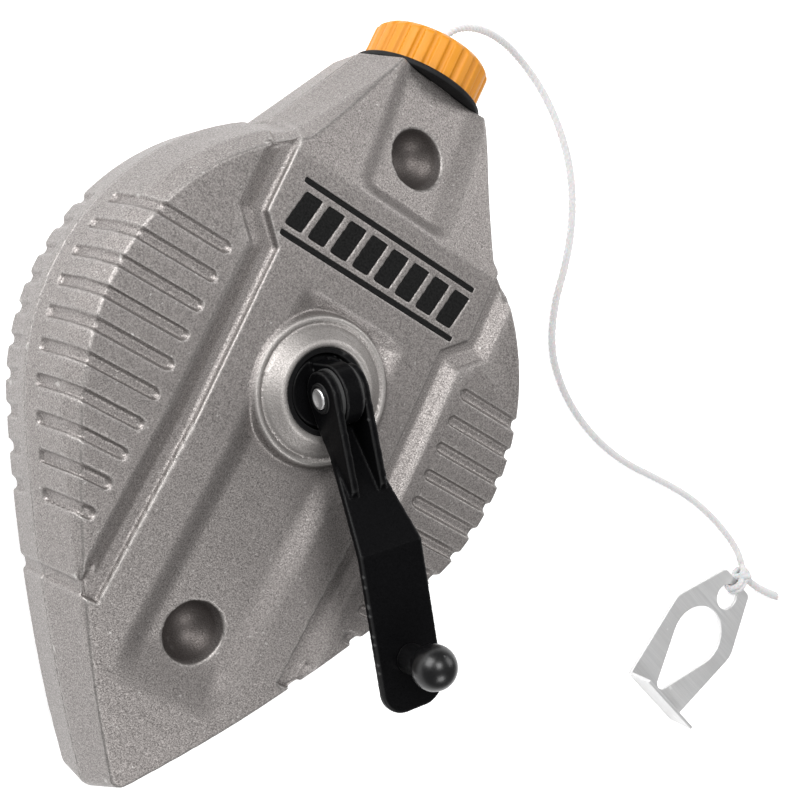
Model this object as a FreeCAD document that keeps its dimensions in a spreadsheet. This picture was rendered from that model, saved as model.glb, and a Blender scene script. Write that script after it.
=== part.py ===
import FreeCAD, Part
import math
import os
import Sketcher

# Chalk line reel, lying on its back.
# Frame: origin on the spindle axis at the flat back face, +Z out through the front face,
# +Y towards the cap and the line outlet. Millimetres and degrees.

V = FreeCAD.Vector
UP = V(0, 0, 1)

DIMENSIONS = {
    # die-cast case
    "seam_height": 21.0, "case_height": 42.0, "case_radius": 61.2, "face_inset": 5.5,
    "wall": 3.0, "shoulder_azimuth": 59.5, "tail_azimuth": -31.0, "tip_reach": 99.5,
    "tip_half": 2.0, "tip_inset_gain": 1.5, "neck_top": 79.5, "neck_half_seam": 17.8,
    "neck_half_face": 7.4, "neck_slope_start": 44.5, "neck_drop": 7.0,
    "tail_slope_start": -20.0, "tail_drop": 8.0, "neck_bore": 11.2, "neck_floor": 60.0,
    "back_wall": 14.0, "back_wall_inset": 0.8, "front_wall": 15.0, "front_wall_inset": 2.6,
    # side grips
    "channel_width": 5.4, "channel_depth": 0.8, "channel_floor": 2.8, "channel_end": 2.6,
    "grip_inner": 30.0, "grip_upper": 36.2, "grip_step_low": 20.6, "grip_step_high": 26.5,
    "grip_bottom": -60.0,
    "groove_count": 10, "groove_pitch": 7.03, "groove_first": 16.8, "groove_width": 2.6,
    "groove_depth": 1.0, "groove_inner": 36.0, "groove_base": 26.0,
    # front face
    "boss_radius": 17.5, "boss_ring": 15.5, "boss_rim": 11.4, "boss_height": 3.2,
    "hub_hole": 10.0, "dimple_radius": 7.25, "dimple_distance": 60.0, "dimple_wall": 1.8,
    "badge_half": 26.0, "badge_low": 26.3, "badge_high": 39.3, "badge_line": 1.3,
    "badge_depth": 0.8, "badge_block": 4.6, "badge_gap": 1.9, "badge_blocks": 8,
    # case screws
    "post_radius": 4.2, "upper_post_x": 36.0, "upper_post_y": 34.5, "lower_post_x": 40.5,
    "lower_post_y": -29.5, "tail_post_y": -84.0, "screw_radius": 1.5, "screw_hole": 1.7,
    "screw_head_radius": 2.9, "screw_head_height": 2.2, "screw_recess": 3.2,
    "screw_length": 24.0, "screw_socket": 1.1, "screw_clearance": 0.2, "line_gap": 0.2,
    # spindle and spool
    "shaft_radius": 4.0, "running_gap": 0.05, "shaft_base": 1.5, "shaft_top": 36.0,
    "spool_seat": 5.4, "spool_seat_radius": 8.0, "washer_height": 0.4, "spool_base": 5.9,
    "spool_top": 27.5, "flange_radius": 44.0, "flange_height": 1.6, "core_radius": 14.0,
    "winding_radius": 36.0,
    # 3:1 planetary gear train
    "gear_module": 0.7, "sun_teeth": 30, "planet_teeth": 15, "ring_teeth": 60,
    "planet_count": 3, "pressure_angle": 25.0, "gear_base": 28.9, "gear_top": 34.2,
    "ring_base": 28.6, "ring_outer": 25.0, "ring_flange": 30.0, "ring_flange_height": 2.0,
    "planet_pin": 1.5, "planet_pin_head": 2.5, "planet_pin_head_height": 0.4,
    "carrier_radius": 19.0, "carrier_base": 34.6, "carrier_top": 36.4,
    "ring_screw_circle": 27.5, "ring_screw_radius": 0.9, "ring_screw_length": 4.2,
    "ring_screw_head": 1.7, "ring_screw_head_height": 1.0, "ring_screws": 4,
    # hub in the front boss
    "bushing_inner": 8.7, "bushing_flange": 12.5, "bushing_flange_height": 1.0,
    "bushing_top": 44.6, "spigot_radius": 6.0, "spigot_base": 34.4, "hub_flange": 11.5,
    "hub_flange_height": 1.4, "hub_top": 43.5, "hub_pilot_depth": 2.2, "lug_half": 2.1,
    "lug_radius": 7.0,
    # folding crank
    "crank_azimuth": -50.5, "pivot_height": 50.0, "pivot_radius": 2.0, "ear_radius": 6.0,
    "ear_inner": 2.8, "sheet": 1.8, "ear_reach": 22.0, "ramp_start": 8.0,
    "ramp_bottom": 46.4, "ramp_end": 33.5, "plate_top": 62.0, "plate_half": 8.0,
    "arm_reach": 71.0, "arm_corner": 5.5, "rivet_head": 2.5, "rivet_head_height": 0.9,
    "friction_washer": 6.2, "crank_radius": 59.0,
    # knob
    "stud_radius": 1.6, "stud_head": 3.0, "stud_head_height": 1.0, "stud_depth": 9.5,
    "knob_collar": 3.4, "knob_ball": 5.15, "knob_centre": 9.8, "knob_gap": 0.15,
    # cap
    "gasket_radius": 16.7, "gasket_height": 1.5, "cap_radius": 15.0, "cap_base": 81.1,
    "cap_top": 91.0, "cap_chamfer": 1.2, "cap_ribs": 24, "rib_depth": 0.8, "rib_half": 0.85,
    "spigot_thread": 10.9, "spigot_bore": 9.2, "cap_spigot_end": 67.0, "cap_floor": 88.0,
    "felt_start": 72.0, "felt_end": 87.8, "felt_gap": 0.05, "line_hole": 1.3,
    # line, knot and hook
    "line_radius": 0.8, "knot_radius": 1.9, "knot_loop": 2.8, "tail_length": 20.0,
    "hook_thickness": 1.0, "hook_half": 15.5, "hook_fold_half": 12.0, "hook_length": 45.0,
    "hook_nose_half": 6.8, "hook_shoulder": 17.5, "hook_lip": 9.5, "hook_hole": 3.9,
    "hook_hole_at": 5.8, "hook_corner": 2.0, "hook_round": 7.0,
    "window_radius": 9.4, "window_wide": 21.4, "window_narrow": 39.0, "window_end": 2.2,
}

# The free line's route from the cap to the hook: straight out, down to the ground, then loose.
LINE_ROUTE = [
    (0.0, 91.0, 21.0), (0.8, 96.0, 20.7), (3.9, 100.8, 19.3), (9.5, 105.2, 16.2),
    (17.3, 109.3, 11.4), (25.8, 112.4, 6.0), (34.8, 113.6, 1.7), (43.6, 111.6, 0.85),
    (53.5, 106.7, 0.85), (63.5, 98.8, 0.85), (71.0, 88.3, 0.85), (76.0, 75.5, 0.85),
    (78.3, 61.5, 0.85), (84.0, 49.5, 0.85), (95.0, 41.0, 0.85), (108.5, 36.0, 0.85),
    (123.0, 34.2, 0.85), (138.0, 35.6, 0.85), (152.0, 36.2, 0.85), (164.5, 34.6, 0.85),
    (174.5, 31.6, 1.1), (180.4, 28.6, 2.3), (182.2, 24.4, 3.5),
]
# Where the hook lies: its small hole on the ground plan, and its turn about Z.
HOOK_AT = (179.5, 15.4)
HOOK_TURN = -15.5


def make_sheet(doc):
    """One row for each driving dimension: its value, with its name as alias."""
    sheet = doc.addObject("Spreadsheet::Sheet", "Sheet")
    for row, (alias, value) in enumerate(DIMENSIONS.items(), start=1):
        sheet.set(f"A{row}", alias)
        sheet.set(f"B{row}", str(value))
        sheet.setAlias(f"B{row}", alias)
    doc.recompute()
    return sheet


doc = FreeCAD.newDocument("chalk_line_reel")
sheet = make_sheet(doc)
parts = []


def size(alias):
    """The sheet's value of one dimension."""
    return float(sheet.get(alias))


def keep(obj, label):
    """Marks an object as a sub-part, under its node name."""
    obj.Label = label
    parts.append(obj)
    return obj


def bind(obj, **expressions):
    """Binds properties to sheet expressions; a double underscore stands for a dot."""
    for prop, expression in expressions.items():
        obj.setExpression(prop.replace("__", "."), expression)
    return obj


def cylinder(name, radius, height, x="0", y="0", z="0", along_y=False):
    """A cylinder whose size and place are sheet expressions, along +Z or along +Y."""
    obj = doc.addObject("Part::Cylinder", name)
    if along_y:
        obj.Placement = FreeCAD.Placement(V(), FreeCAD.Rotation(V(1, 0, 0), -90))
    return bind(obj, Radius=radius, Height=height, Placement__Base__x=x,
                Placement__Base__y=y, Placement__Base__z=z)


def cut(name, base, *tools):
    """Base less each tool."""
    for index, tool in enumerate(tools):
        result = doc.addObject("Part::Cut", f"{name}_{index}")
        result.Base = base
        result.Tool = tool
        base = result
    return base


def fuse(name, *shapes):
    result = doc.addObject("Part::MultiFuse", name)
    result.Shapes = list(shapes)
    return result


def drawn_body(name, plane_role, points):
    """A body with a closed polygon sketch; every corner is held by two bound dimensions."""
    body = doc.addObject("PartDesign::Body", name)
    sketch = body.newObject("Sketcher::SketchObject", f"{name}_sketch")
    planes = [f for f in body.Origin.OriginFeatures if f.Role == plane_role]
    sketch.AttachmentSupport = [(planes[0], "")]
    sketch.MapMode = "FlatFace"
    count = len(points)
    guesses = [V(20 * math.cos(k * 2 * math.pi / count), 20 * math.sin(k * 2 * math.pi / count), 0)
               for k in range(count)]
    for k in range(count):
        sketch.addGeometry(Part.LineSegment(guesses[k], guesses[(k + 1) % count]), False)
    for k in range(count):
        sketch.addConstraint(Sketcher.Constraint("Coincident", k, 2, (k + 1) % count, 1))
    for k, corner in enumerate(points):
        for kind, value, expression in zip(("DistanceX", "DistanceY"), guesses[k], corner):
            index = sketch.addConstraint(Sketcher.Constraint(kind, -1, 1, k, 1, value))
            sketch.setExpression(f"Constraints[{index}]", expression)
    doc.recompute()
    return body, sketch


def turned(name, profile):
    """A body of revolution about Z; the profile's corners are (radius, height) expressions."""
    body, sketch = drawn_body(name, "XZ_Plane", profile)
    feature = body.newObject("PartDesign::Revolution", f"{name}_turn")
    feature.Profile = sketch
    feature.ReferenceAxis = (sketch, ["V_Axis"])
    feature.Angle = 360
    sketch.Visibility = False
    doc.recompute()
    return body


def along_y(obj, height):
    """Lays a piece turned about Z along +Y, with its axis at the given height."""
    obj.Placement = FreeCAD.Placement(V(), FreeCAD.Rotation(V(1, 0, 0), -90))
    return bind(obj, Placement__Base__z=height)


def solid_feature(label, shape):
    """A sub-part whose shape is computed from the sheet's dimensions."""
    obj = doc.addObject("Part::Feature", label)
    obj.Shape = shape
    return keep(obj, label)


# ---------------------------------------------------------------- case shells

def polar(radius, degrees, z=0.0):
    angle = math.radians(degrees)
    return V(radius * math.cos(angle), radius * math.sin(angle), z)


def mirrored(point):
    return V(-point.x, point.y, point.z)


def tail_curve(start, end):
    """Centre distance and radius of the arc that leaves the round part at start and meets end."""
    radius = start.Length
    outward = start * (1 / radius)
    back = (end.dot(end) - radius ** 2) / (2 * (radius - end.dot(outward)))
    centre = outward * -back
    middle = (start - centre) + (end - centre)
    return centre + middle.normalize() * (back + radius)


def outline(inset, z):
    """The case's outline, drawn in from its seam line by inset."""
    radius = size("case_radius") - inset
    taper = (size("neck_half_seam") - size("neck_half_face")) / size("face_inset")
    neck = V(size("neck_half_seam") - inset * taper, size("neck_top"), 0)
    shoulder = polar(radius, size("shoulder_azimuth"))
    side = polar(radius, (size("shoulder_azimuth") + size("tail_azimuth")) / 2)
    hip = polar(radius, size("tail_azimuth"))
    reach = size("tip_reach") - size("tip_inset_gain") * inset
    tip = V(size("tip_half"), -reach, 0)
    nose = V(0, -reach - 0.4 * size("tip_half"), 0)
    tail = tail_curve(hip, tip)
    edges = [
        Part.makeLine(mirrored(neck), neck),
        Part.makeLine(neck, shoulder),
        Part.Arc(shoulder, side, hip).toShape(),
        Part.Arc(hip, tail, tip).toShape(),
        Part.Arc(tip, nose, mirrored(tip)).toShape(),
        Part.Arc(mirrored(tip), mirrored(tail), mirrored(hip)).toShape(),
        Part.Arc(mirrored(hip), mirrored(side), mirrored(shoulder)).toShape(),
        Part.makeLine(mirrored(shoulder), mirrored(neck)),
    ]
    wire = Part.Wire(edges)
    wire.translate(V(0, 0, z))
    return wire


def prism(points, direction):
    """A polygon pushed along a direction."""
    return Part.Face(Part.makePolygon(points + points[:1])).extrude(direction)


def slopes():
    """Start, end and drop of the neck's and the tail's sloping faces."""
    return ((size("neck_slope_start"), size("neck_top"), size("neck_drop")),
            (size("tail_slope_start"), -size("tip_reach"), size("tail_drop")))


def surface_drop(y):
    """How far the sloping faces lie below the flat one, this far along the case."""
    for start, end, drop in slopes():
        share = (y - start) / (end - start)
        if share > 0:
            return drop * share
    return 0.0


def slope_cutters(depth):
    """What the neck's and the tail's sloping faces take off, this far below the surface."""
    top = size("case_height") - depth
    far = 120.0
    cutters = []
    for start, end, drop in slopes():
        slope = drop / (end - start)
        reach = math.copysign(far, end)
        points = [V(-far, start, top), V(-far, reach, top - slope * (reach - start)),
                  V(-far, reach, far), V(-far, start, far)]
        cutters.append(prism(points, V(2 * far, 0, 0)))
    return cutters


def wall_stages(side):
    """Height above the seam and inset of each corner of the wall, which is steep first."""
    rise = size("case_height") - size("seam_height")
    return [(0.0, 0.0), (size(side + "_wall"), size(side + "_wall_inset")),
            (rise, size("face_inset"))]


def blank(depth, side):
    """One half of the case, solid, this far inside its outer surface."""
    stages = wall_stages(side)
    (low, low_inset), (high, high_inset) = stages[-2:]
    drafted = high_inset - (high_inset - low_inset) * depth / (high - low)
    stages[-1] = (high - depth, drafted)
    seam = size("seam_height")
    sections = [outline(inset + depth, seam + height) for height, inset in stages]
    return Part.makeLoft(sections, True, True).cut(slope_cutters(depth))


def grip_plan(grown):
    """Corners of one side grip, grown outward by the channel's width or by nothing."""
    far = 90.0
    inner, upper = size("grip_inner") - grown, size("grip_upper") - grown
    slant = grown * 0.4
    bottom = size("grip_bottom") - grown * size("channel_end") / size("channel_width")
    return [(far, bottom), (inner, bottom),
            (inner, size("grip_step_low") + slant), (upper, size("grip_step_high") + slant),
            (upper, far), (far, far)]


def grip_flank():
    """The slope from the channel's bottom up to the grip, on the flat face and on the tail."""
    top, depth = size("case_height"), size("channel_depth")
    width = size("channel_width") - size("channel_floor")
    bend = size("tail_slope_start")
    within = Part.Face(outline(size("face_inset") + depth, 0)).extrude(V(0, 0, 90))
    flat, tail = [], []
    for grown, level in ((width, top - depth), (0.0, top)):
        corners = grip_plan(grown)
        flat.append([V(x, max(y, bend), level) for x, y in corners])
        low = [V(x, y, level - surface_drop(y)) for x, y in corners[:2]]
        tail.append(low + [V(p.x, bend, level) for p in reversed(low)])
    lofts = [Part.makeLoft([Part.makePolygon(s + s[:1]) for s in pair], True, True)
             for pair in (flat, tail)]
    return [loft.common(within) for loft in lofts]


def grip_channel(side):
    """The recess round one grip: steep on the face's side, sloping on the grip's."""
    whole, grip = [prism([V(x, y, 0) for x, y in grip_plan(grown)], V(0, 0, 90))
                   for grown in (size("channel_width"), 0.0)]
    return whole.cut(grip).cut(blank(size("channel_depth"), side)).cut(grip_flank())


def grip_grooves(side):
    """The finger grooves of one grip, across the face edge and down the side wall."""
    half, base = size("groove_width") / 2, size("groove_base")
    core = blank(size("groove_depth"), side)
    grooves = []
    for k in range(int(size("groove_count"))):
        y = size("groove_first") - k * size("groove_pitch")
        bar = Part.makeBox(50, 2 * half, 40, V(size("groove_inner"), y - half, base))
        nose = Part.makeCylinder(half, 40, V(size("groove_inner"), y, base), UP)
        grooves.append(bar.fuse(nose).cut(core))
    return grooves


def both_sides(shapes):
    return shapes + [s.mirror(V(), V(1, 0, 0)) for s in shapes]


def screw_places():
    """Plan positions of the five case screws."""
    upper = V(size("upper_post_x"), size("upper_post_y"), 0)
    lower = V(size("lower_post_x"), size("lower_post_y"), 0)
    return [upper, mirrored(upper), lower, mirrored(lower), V(0, size("tail_post_y"), 0)]


def screw_seat(place):
    """Where a case screw's head bears, sunk in from the back face."""
    return place + V(0, 0, size("screw_recess") + surface_drop(place.y))


def half_case(side):
    """One casting, as the front half: outside, cavity, neck bore and screw posts."""
    seam, wall = size("seam_height"), size("wall")
    floor = Part.makeBox(200, 100, 90, V(-100, size("neck_floor"), 0))
    cavity = blank(wall, side).cut(floor)
    posts = [Part.makeCylinder(size("post_radius"), 40, p + V(0, 0, seam), UP)
             for p in screw_places()]
    case = blank(0, side).cut(both_sides([grip_channel(side)] + grip_grooves(side)))
    case = case.cut(cavity)
    case = case.fuse([post.common(blank(wall / 2, side)) for post in posts])
    bore = Part.makeCylinder(size("neck_bore"), 40, V(0, size("neck_top") - 28, seam), V(0, 1, 0))
    return case.cut(bore)


def boss():
    """The raised hub boss: outer fillet, ring groove and cone."""
    top, inner = size("case_height"), size("hub_hole")
    height, ring, rim = size("boss_height"), size("boss_ring"), size("boss_rim")
    profile = [(inner, -2.0), (size("boss_radius"), -2.0), (size("boss_radius"), 0.0),
               (ring + 1.2, 0.9), (ring + 0.3, 0.9), (ring, 0.3), (ring - 0.6, 0.3),
               (ring - 0.9, 1.0), (rim, height), (inner, height)]
    face = Part.Face(Part.makePolygon([V(r, 0, top + z) for r, z in profile + profile[:1]]))
    return face.revolve(V(), UP, 360)


def dimple_centres():
    """The two knob recesses, at the level of the sloping face."""
    reach, top = size("dimple_distance"), size("case_height")
    return [V(0, y, top - surface_drop(y)) for y in (reach, -reach)]


def badge_shapes():
    """Plain face decoration: two thin lines with a row of slanted blocks between."""
    top, depth = size("case_height"), size("badge_depth")
    half, line = size("badge_half"), size("badge_line")
    low, high = size("badge_low"), size("badge_high")
    shapes = [Part.makeBox(2 * half, line, depth, V(-half, y - line / 2, top - depth))
              for y in (low, high)]
    width, lean = size("badge_block"), 1.6
    bottom, ceiling = low + line / 2 + 1.5, high - line / 2 - 1.5
    count = int(size("badge_blocks"))
    step = width + size("badge_gap")
    first = -(count * step - size("badge_gap")) / 2
    for k in range(count):
        x = first + k * step
        points = [V(x - lean / 2, bottom, top - depth), V(x + width - lean / 2, bottom, top - depth),
                  V(x + width + lean / 2, ceiling, top - depth), V(x + lean / 2, ceiling, top - depth)]
        shapes.append(prism(points, V(0, 0, depth)))
    return shapes


def ring_screw_places():
    count = int(size("ring_screws"))
    return [polar(size("ring_screw_circle"), 45 + 360 * k / count) for k in range(count)]


def front_shell():
    """The front casting, with the hub boss, knob recesses, badge pockets and pilot holes."""
    top, seam = size("case_height"), size("seam_height")
    radius, cup_wall = size("dimple_radius"), size("dimple_wall")
    cups = [Part.makeSphere(radius + cup_wall, c) for c in dimple_centres()]
    shell = half_case("front").fuse([cup.common(blank(0, "front")) for cup in cups]).fuse(boss())
    shell = shell.cut([Part.makeSphere(radius, c) for c in dimple_centres()])
    below = top - size("hub_hole")
    through = Part.makeCylinder(size("hub_hole"), 2 * size("hub_hole"), V(0, 0, below), UP)
    depth = size("ring_flange_height")
    seat = Part.makeCylinder(size("ring_flange"), depth, V(0, 0, top - size("wall") - depth), UP)
    shell = shell.cut([through, seat]).cut(badge_shapes())
    holes = []
    for place in screw_places():
        tip = screw_seat(place).z + size("screw_length") + size("screw_clearance")
        holes.append(Part.makeCylinder(size("screw_radius"), tip - seam, place + V(0, 0, seam), UP))
    depth = size("ring_screw_length") - size("ring_flange_height")
    holes += [Part.makeCylinder(size("ring_screw_radius"), depth, p + V(0, 0, top - size("wall")), UP)
              for p in ring_screw_places()]
    return shell.cut(holes)


def back_shell():
    """The back casting, with the spindle seat and the countersunk screw holes."""
    seam, wall = size("seam_height"), size("wall")
    shell = half_case("back").mirror(V(0, 0, seam), UP)
    seat = size("spool_seat")
    shell = shell.fuse(Part.makeCylinder(size("spool_seat_radius"), seat - wall / 2, V(0, 0, wall / 2), UP))
    tools = [Part.makeCylinder(size("shaft_radius"), seat, V(0, 0, size("shaft_base")), UP)]
    head = size("screw_head_radius") + size("screw_clearance")
    for place in screw_places():
        tools.append(Part.makeCylinder(size("screw_hole"), seam + 1, place, UP))
        tools.append(Part.makeCylinder(head, screw_seat(place).z, place, UP))
    return shell.cut(tools)


def screw(radius, length, head_radius, head_height, socket):
    """A headed screw pointing up, its head's bearing face at the origin, with a hexagon socket."""
    body = Part.makeCylinder(radius, length, V(), UP)
    head = Part.makeCylinder(head_radius, head_height, V(0, 0, -head_height), UP)
    head = head.makeFillet(head_height * 0.3, [head.Edges[2] if head.Edges[2].Curve.Center.z < -1e-6
                                               else head.Edges[0]])
    sides = [polar(socket, 60 * k, -head_height) for k in range(6)]
    return body.fuse(head).cut(prism(sides, V(0, 0, head_height * 0.6)))


def case_screws():
    """The five screws that close the case, driven in from the back."""
    one = screw(size("screw_radius"), size("screw_length"), size("screw_head_radius"),
                size("screw_head_height"), size("screw_socket"))
    copies = []
    for place in screw_places():
        item = one.copy()
        item.translate(screw_seat(place))
        copies.append(item)
    return Part.makeCompound(copies)


# ---------------------------------------------------------------- gears

def involute_tooth(teeth, module, angle, slack, outer, inner):
    """One tooth's outline, point by point, centred on +X: up one flank and down the other."""
    pitch = teeth * module / 2
    base = pitch * math.cos(angle)
    half = math.pi / (2 * teeth) - slack / pitch
    lean = math.tan(angle) - angle
    flank = [(inner, half + lean)] if inner < base else []
    start = max(inner, base)
    steps = 5
    for k in range(steps + 1):
        r = start + (outer - start) * k / steps
        turn = math.acos(min(1.0, base / r))
        flank.append((r, half + lean - (math.tan(turn) - turn)))
    rising = [polar(r, -math.degrees(a)) for r, a in flank]
    falling = [polar(r, math.degrees(a)) for r, a in reversed(flank)]
    return rising + falling


def toothed_face(teeth, slack, outer, inner, phase=0.0):
    """A face with involute teeth; slack thins each tooth at the pitch circle."""
    angle = math.radians(size("pressure_angle"))
    tooth = involute_tooth(teeth, size("gear_module"), angle, slack, outer, inner)
    points = []
    for k in range(teeth):
        turn = FreeCAD.Rotation(UP, phase + 360.0 * k / teeth)
        points += [turn.multVec(p) for p in tooth]
    return Part.Face(Part.makePolygon(points + points[:1]))


def pinion(teeth, base, top, bore, phase=0.0):
    """An external gear with a plain bore."""
    module = size("gear_module")
    pitch = teeth * module / 2
    face = toothed_face(teeth, 0.06, pitch + 0.85 * module, pitch - 1.1 * module, phase)
    face.translate(V(0, 0, base))
    gear = face.extrude(V(0, 0, top - base))
    return gear.cut(Part.makeCylinder(bore, top - base, V(0, 0, base), UP))


def planet_places():
    """The three planet axes, on the circle halfway between the sun and the ring."""
    radius = (size("sun_teeth") + size("planet_teeth")) * size("gear_module") / 2
    count = int(size("planet_count"))
    return [polar(radius, size("crank_azimuth") + 360.0 * k / count) for k in range(count)]


def planet_phase(place):
    """Turn of a planet that puts a gap against the sun's tooth on its own azimuth."""
    azimuth = math.degrees(math.atan2(place.y, place.x))
    sun, planet = size("sun_teeth"), size("planet_teeth")
    offset = azimuth * sun / planet
    return azimuth + 180.0 + 180.0 / planet + offset


def planet_gear(place):
    gear = pinion(int(size("planet_teeth")), size("gear_base"), size("gear_top"),
                  size("planet_pin") + size("running_gap"), planet_phase(place))
    gear.translate(place)
    return gear


def ring_gear():
    """The fixed internal gear, with a flange screwed under the front wall."""
    teeth, module = int(size("ring_teeth")), size("gear_module")
    base, top = size("ring_base"), size("case_height") - size("wall")
    pitch = teeth * module / 2
    body = Part.makeCylinder(size("ring_outer"), top - base, V(0, 0, base), UP)
    flange = size("ring_flange_height")
    body = body.fuse(Part.makeCylinder(size("ring_flange"), flange, V(0, 0, top - flange), UP))
    planet = planet_places()[0]
    azimuth = math.degrees(math.atan2(planet.y, planet.x))
    phase = azimuth + (planet_phase(planet) - azimuth) * size("planet_teeth") / teeth
    space = toothed_face(teeth, -0.06, pitch + 1.1 * module, pitch - 0.8 * module, phase)
    space.translate(V(0, 0, base))
    body = body.cut(space.extrude(V(0, 0, top - base)))
    holes = [Part.makeCylinder(size("ring_screw_radius"), flange, p + V(0, 0, top - flange), UP)
             for p in ring_screw_places()]
    return body.cut(holes)


def ring_screws():
    """The small screws that hold the ring gear to the front casting."""
    seat = size("case_height") - size("wall") - size("ring_flange_height")
    one = screw(size("ring_screw_radius"), size("ring_screw_length"), size("ring_screw_head"),
                size("ring_screw_head_height"), 0.7)
    copies = []
    for place in ring_screw_places():
        item = one.copy()
        item.translate(place + V(0, 0, seat))
        copies.append(item)
    return Part.makeCompound(copies)


def planet_pins():
    """Headed pins pressed into the carrier, one for each planet."""
    base, head = size("ring_base"), size("planet_pin_head_height")
    pins = []
    for place in planet_places():
        pin = Part.makeCylinder(size("planet_pin"), size("carrier_top") - base, place + V(0, 0, base), UP)
        cap = Part.makeCylinder(size("planet_pin_head"), head, place + V(0, 0, base - head), UP)
        pins.append(pin.fuse(cap))
    return Part.makeCompound(pins)


# ---------------------------------------------------------------- crank arm

def to_crank(shape):
    """Turns a shape drawn along +X to the crank's azimuth."""
    shape.rotate(V(), UP, size("crank_azimuth"))
    return shape


def crank_arm():
    """Pressed steel arm: two ears, a ramp that widens, and a flat plate with round corners."""
    sheet_t, top, half = size("sheet"), size("plate_top"), size("plate_half")
    x0, z0, x1, end = size("ramp_start"), size("ramp_bottom"), size("ramp_end"), size("arm_reach")
    tilt = math.atan2(top - sheet_t - z0, x1 - x0)
    dx, dz = sheet_t * math.tan(tilt / 2), sheet_t / math.cos(tilt)
    side = [V(x0, -half, z0), V(x1 + dx, -half, top - sheet_t), V(end, -half, top - sheet_t),
            V(end, -half, top), V(x1, -half, top), V(x0, -half, z0 + dz)]
    strip = prism(side, V(0, 2 * half, 0))
    ear_outer = size("ear_inner") + sheet_t
    plan = [V(x0, -ear_outer, 0), V(x0 + 5, -ear_outer, 0), V(x1, -half, 0), V(end, -half, 0),
            V(end, half, 0), V(x1, half, 0), V(x0 + 5, ear_outer, 0), V(x0, ear_outer, 0)]
    plan = prism(plan, V(0, 0, 90))
    corners = [e for e in plan.Edges if abs(e.tangentAt(e.FirstParameter).z) > 0.99
               and e.Vertexes[0].Point.x > end - 0.01]
    strip = strip.common(plan.makeFillet(size("arm_corner"), corners))
    pivot, ear, reach = size("pivot_height"), size("ear_radius"), size("ear_reach")
    slope = (top - sheet_t - z0) / (x1 - x0)
    low = z0 + slope * (reach - x0)
    blade = [V(-1, 0, pivot + ear * 0.98), V(reach - 1.5, 0, low + 3.2), V(reach, 0, low + dz),
             V(reach, 0, low), V(x0, 0, z0), V(1.5, 0, pivot - ear * 0.96)]
    ears = []
    for y in (-ear_outer, size("ear_inner")):
        disc = Part.makeCylinder(ear, sheet_t, V(0, y, pivot), V(0, 1, 0))
        plate = prism([p + V(0, y, 0) for p in blade], V(0, sheet_t, 0))
        ears.append(disc.fuse(plate))
    arm = strip.fuse(ears)
    pin = Part.makeCylinder(size("pivot_radius"), 20, V(0, -10, pivot), V(0, 1, 0))
    stud = Part.makeCylinder(size("stud_radius"), 10, V(size("crank_radius"), 0, top - 5), UP)
    return to_crank(arm.cut([pin, stud]).removeSplitter())


def pivot_rivet():
    """The rivet through the ears and the hub's lug, domed at both ends."""
    reach = size("ear_inner") + size("sheet")
    radius, head, height = size("pivot_radius"), size("rivet_head"), size("rivet_head_height")
    profile = [V(0, -reach - height, 0), V(head * 0.6, -reach - height, 0), V(head, -reach - 0.3, 0),
               V(head, -reach, 0), V(radius, -reach, 0), V(radius, reach, 0), V(head, reach, 0),
               V(head, reach + 0.3, 0), V(head * 0.6, reach + height, 0), V(0, reach + height, 0)]
    rivet = Part.Face(Part.makePolygon(profile + profile[:1])).revolve(V(), V(0, 1, 0), 360)
    rivet.translate(V(0, 0, size("pivot_height")))
    return to_crank(rivet)


def friction_washers():
    """A washer each side of the lug, which keeps the crank where it is folded to."""
    washers = []
    for y in (-size("ear_inner"), size("lug_half")):
        width = size("ear_inner") - size("lug_half")
        disc = Part.makeCylinder(size("friction_washer"), width, V(0, y, size("pivot_height")), V(0, 1, 0))
        hole = Part.makeCylinder(size("pivot_radius") + size("running_gap"), width,
                                 V(0, y, size("pivot_height")), V(0, 1, 0))
        washers.append(disc.cut(hole))
    return to_crank(Part.makeCompound(washers))


def crank_hub():
    """The turning hub: spigot, flange, journal and the lug that the arm folds on."""
    spigot, flange = size("spigot_radius"), size("hub_flange")
    journal = size("bushing_inner") - size("running_gap")
    seat = size("carrier_top")
    shaft_hole = size("shaft_radius") + size("running_gap")
    base, top = size("spigot_base"), size("hub_top")
    profile = [(0, base), (spigot, base), (spigot, seat), (flange, seat),
               (flange, seat + size("hub_flange_height")), (journal, seat + size("hub_flange_height")),
               (journal, top - 0.8), (journal - 0.8, top), (0, top)]
    hub = Part.Face(Part.makePolygon([V(r, 0, z) for r, z in profile + profile[:1]])).revolve(V(), UP, 360)
    pivot, lug, half = size("pivot_height"), size("lug_radius"), size("lug_half")
    barrel = Part.makeCylinder(lug, 2 * half, V(0, -half, pivot), V(0, 1, 0))
    web = Part.makeBox(2 * lug, 2 * half, pivot - top + 1, V(-lug, -half, top - 1))
    pin = Part.makeCylinder(size("pivot_radius") + size("running_gap"), 20, V(0, -10, pivot), V(0, 1, 0))
    pilot = Part.makeCylinder(shaft_hole, size("hub_pilot_depth"), V(0, 0, base), UP)
    return to_crank(hub.fuse([barrel, web]).cut([pin, pilot]).removeSplitter())


# ---------------------------------------------------------------- cap, line and hook

def gasket():
    """The round-edged rubber ring between the neck and the cap."""
    outer, inner = size("gasket_radius"), size("neck_bore")
    base, height = size("neck_top"), size("gasket_height")
    ring = Part.makeCylinder(outer, height, V(0, base, size("seam_height")), V(0, 1, 0))
    ring = ring.makeFillet(height * 0.3, [e for e in ring.Edges if len(e.Vertexes) == 1])
    return ring.cut(Part.makeCylinder(inner, height, V(0, base, size("seam_height")), V(0, 1, 0)))


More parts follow.
